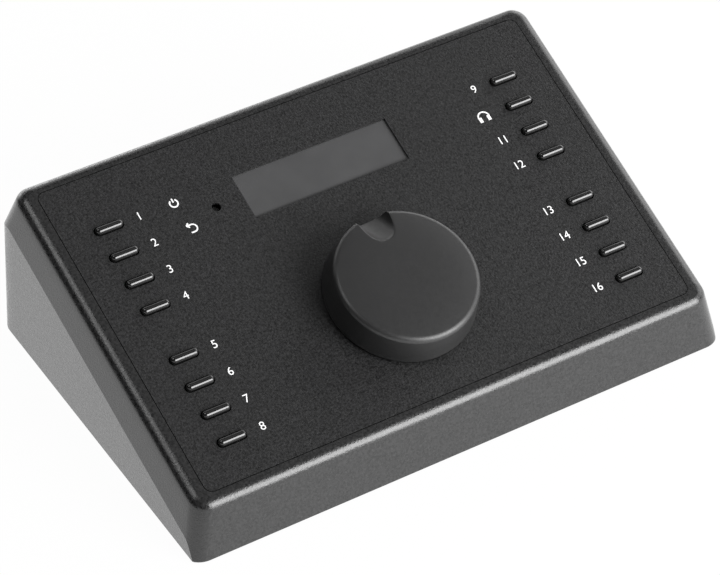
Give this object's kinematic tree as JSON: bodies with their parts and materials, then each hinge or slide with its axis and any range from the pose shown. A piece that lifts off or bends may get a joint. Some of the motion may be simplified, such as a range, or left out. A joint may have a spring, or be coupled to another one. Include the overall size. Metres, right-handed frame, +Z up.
{
  "type": "studio monitor controller",
  "caption": "Desktop audio controller: wedge case with sloped panel, large turn-and-push dial, two columns of keys, display window and rear sockets.",
  "frame": {"origin": "middle of the footprint, on the surface that the feet stand on", "axes": "+X to the user's right, +Y to the rear with the sockets, +Z up"},
  "size_m": [0.1948, 0.123, 0.0578],
  "materials": {
    "housing_paint": "fine textured black paint, satin",
    "plate_black": "fine grained matt black sheet",
    "window_tint": "smoked display window",
    "display_glass": "dark display glass",
    "board_green": "green circuit board",
    "black_plastic": "moulded black",
    "switch_metal": "plated metal",
    "screw_steel": "blackened steel",
    "key_gloss": "glossy black",
    "plunger_plastic": "natural plastic",
    "knob_soft": "matt soft-touch dark grey",
    "plate_steel": "matt black painted steel",
    "foot_rubber": "matt rubber"
  },
  "bodies": {
    "case": {"base_plate": "plate_steel", "base_screws": "screw_steel", "board_standoffs": "switch_metal", "control_board": "board_green", "control_board_screws": "screw_steel", "display_board": "board_green", "display_frame": "black_plastic", "display_glass": "display_glass", "display_window": "window_tint", "encoder_body": "switch_metal", "encoder_nut": "switch_metal", "encoder_washer": "switch_metal", "face_plate": "plate_black", "foot_front_left": "foot_rubber", "foot_front_right": "foot_rubber", "foot_rear_left": "foot_rubber", "foot_rear_right": "foot_rubber", "headphone_jack": "black_plastic", "housing": "housing_paint", "jack_nuts": "switch_metal", "key_switches": "switch_metal", "light_sensor": "black_plastic", "line_in_left_jack": "black_plastic", "line_in_right_jack": "black_plastic", "main_board": "board_green", "main_board_screws": "screw_steel", "network_socket_left": "switch_metal", "network_socket_right": "switch_metal", "power_socket": "black_plastic", "rear_panel": "plate_steel", "rear_panel_screws": "screw_steel", "usb_socket": "switch_metal"},
    "key_01": {"key_01": "key_gloss"},
    "key_02": {"key_02": "key_gloss"},
    "key_03": {"key_03": "key_gloss"},
    "key_04": {"key_04": "key_gloss"},
    "key_05": {"key_05": "key_gloss"},
    "key_06": {"key_06": "key_gloss"},
    "key_07": {"key_07": "key_gloss"},
    "key_08": {"key_08": "key_gloss"},
    "key_09": {"key_09": "key_gloss"},
    "key_10": {"key_10": "key_gloss"},
    "key_11": {"key_11": "key_gloss"},
    "key_12": {"key_12": "key_gloss"},
    "key_13": {"key_13": "key_gloss"},
    "key_14": {"key_14": "key_gloss"},
    "key_15": {"key_15": "key_gloss"},
    "key_16": {"key_16": "key_gloss"},
    "plunger": {"encoder_plunger": "plunger_plastic"},
    "dial": {"encoder_shaft": "switch_metal", "knob": "knob_soft", "knob_clip": "switch_metal"}
  },
  "joints": [
    {"name": "key_01_press", "type": "slide", "parent": "case", "child": "key_01", "axis": [0, 0.3299, -0.944], "range_m": [0, 0.0005], "stiffness_N_per_m": 400, "springref_m": -0.001},
    {"name": "key_02_press", "type": "slide", "parent": "case", "child": "key_02", "axis": [0, 0.3299, -0.944], "range_m": [0, 0.0005], "stiffness_N_per_m": 400, "springref_m": -0.001},
    {"name": "key_03_press", "type": "slide", "parent": "case", "child": "key_03", "axis": [0, 0.3299, -0.944], "range_m": [0, 0.0005], "stiffness_N_per_m": 400, "springref_m": -0.001},
    {"name": "key_04_press", "type": "slide", "parent": "case", "child": "key_04", "axis": [0, 0.3299, -0.944], "range_m": [0, 0.0005], "stiffness_N_per_m": 400, "springref_m": -0.001},
    {"name": "key_05_press", "type": "slide", "parent": "case", "child": "key_05", "axis": [0, 0.3299, -0.944], "range_m": [0, 0.0005], "stiffness_N_per_m": 400, "springref_m": -0.001},
    {"name": "key_06_press", "type": "slide", "parent": "case", "child": "key_06", "axis": [0, 0.3299, -0.944], "range_m": [0, 0.0005], "stiffness_N_per_m": 400, "springref_m": -0.001},
    {"name": "key_07_press", "type": "slide", "parent": "case", "child": "key_07", "axis": [0, 0.3299, -0.944], "range_m": [0, 0.0005], "stiffness_N_per_m": 400, "springref_m": -0.001},
    {"name": "key_08_press", "type": "slide", "parent": "case", "child": "key_08", "axis": [0, 0.3299, -0.944], "range_m": [0, 0.0005], "stiffness_N_per_m": 400, "springref_m": -0.001},
    {"name": "key_09_press", "type": "slide", "parent": "case", "child": "key_09", "axis": [0, 0.3299, -0.944], "range_m": [0, 0.0005], "stiffness_N_per_m": 400, "springref_m": -0.001},
    {"name": "key_10_press", "type": "slide", "parent": "case", "child": "key_10", "axis": [0, 0.3299, -0.944], "range_m": [0, 0.0005], "stiffness_N_per_m": 400, "springref_m": -0.001},
    {"name": "key_11_press", "type": "slide", "parent": "case", "child": "key_11", "axis": [0, 0.3299, -0.944], "range_m": [0, 0.0005], "stiffness_N_per_m": 400, "springref_m": -0.001},
    {"name": "key_12_press", "type": "slide", "parent": "case", "child": "key_12", "axis": [0, 0.3299, -0.944], "range_m": [0, 0.0005], "stiffness_N_per_m": 400, "springref_m": -0.001},
    {"name": "key_13_press", "type": "slide", "parent": "case", "child": "key_13", "axis": [0, 0.3299, -0.944], "range_m": [0, 0.0005], "stiffness_N_per_m": 400, "springref_m": -0.001},
    {"name": "key_14_press", "type": "slide", "parent": "case", "child": "key_14", "axis": [0, 0.3299, -0.944], "range_m": [0, 0.0005], "stiffness_N_per_m": 400, "springref_m": -0.001},
    {"name": "key_15_press", "type": "slide", "parent": "case", "child": "key_15", "axis": [0, 0.3299, -0.944], "range_m": [0, 0.0005], "stiffness_N_per_m": 400, "springref_m": -0.001},
    {"name": "key_16_press", "type": "slide", "parent": "case", "child": "key_16", "axis": [0, 0.3299, -0.944], "range_m": [0, 0.0005], "stiffness_N_per_m": 400, "springref_m": -0.001},
    {"name": "dial_push", "type": "slide", "parent": "case", "child": "plunger", "axis": [0, 0.3299, -0.944], "range_m": [0, 0.0005], "stiffness_N_per_m": 8000, "springref_m": -0.0005},
    {"name": "dial_turn", "type": "hinge", "parent": "plunger", "child": "dial", "pos_m": [0, -0.0191, 0.0325], "axis": [0, -0.3299, 0.944], "continuous": true}
  ]
}
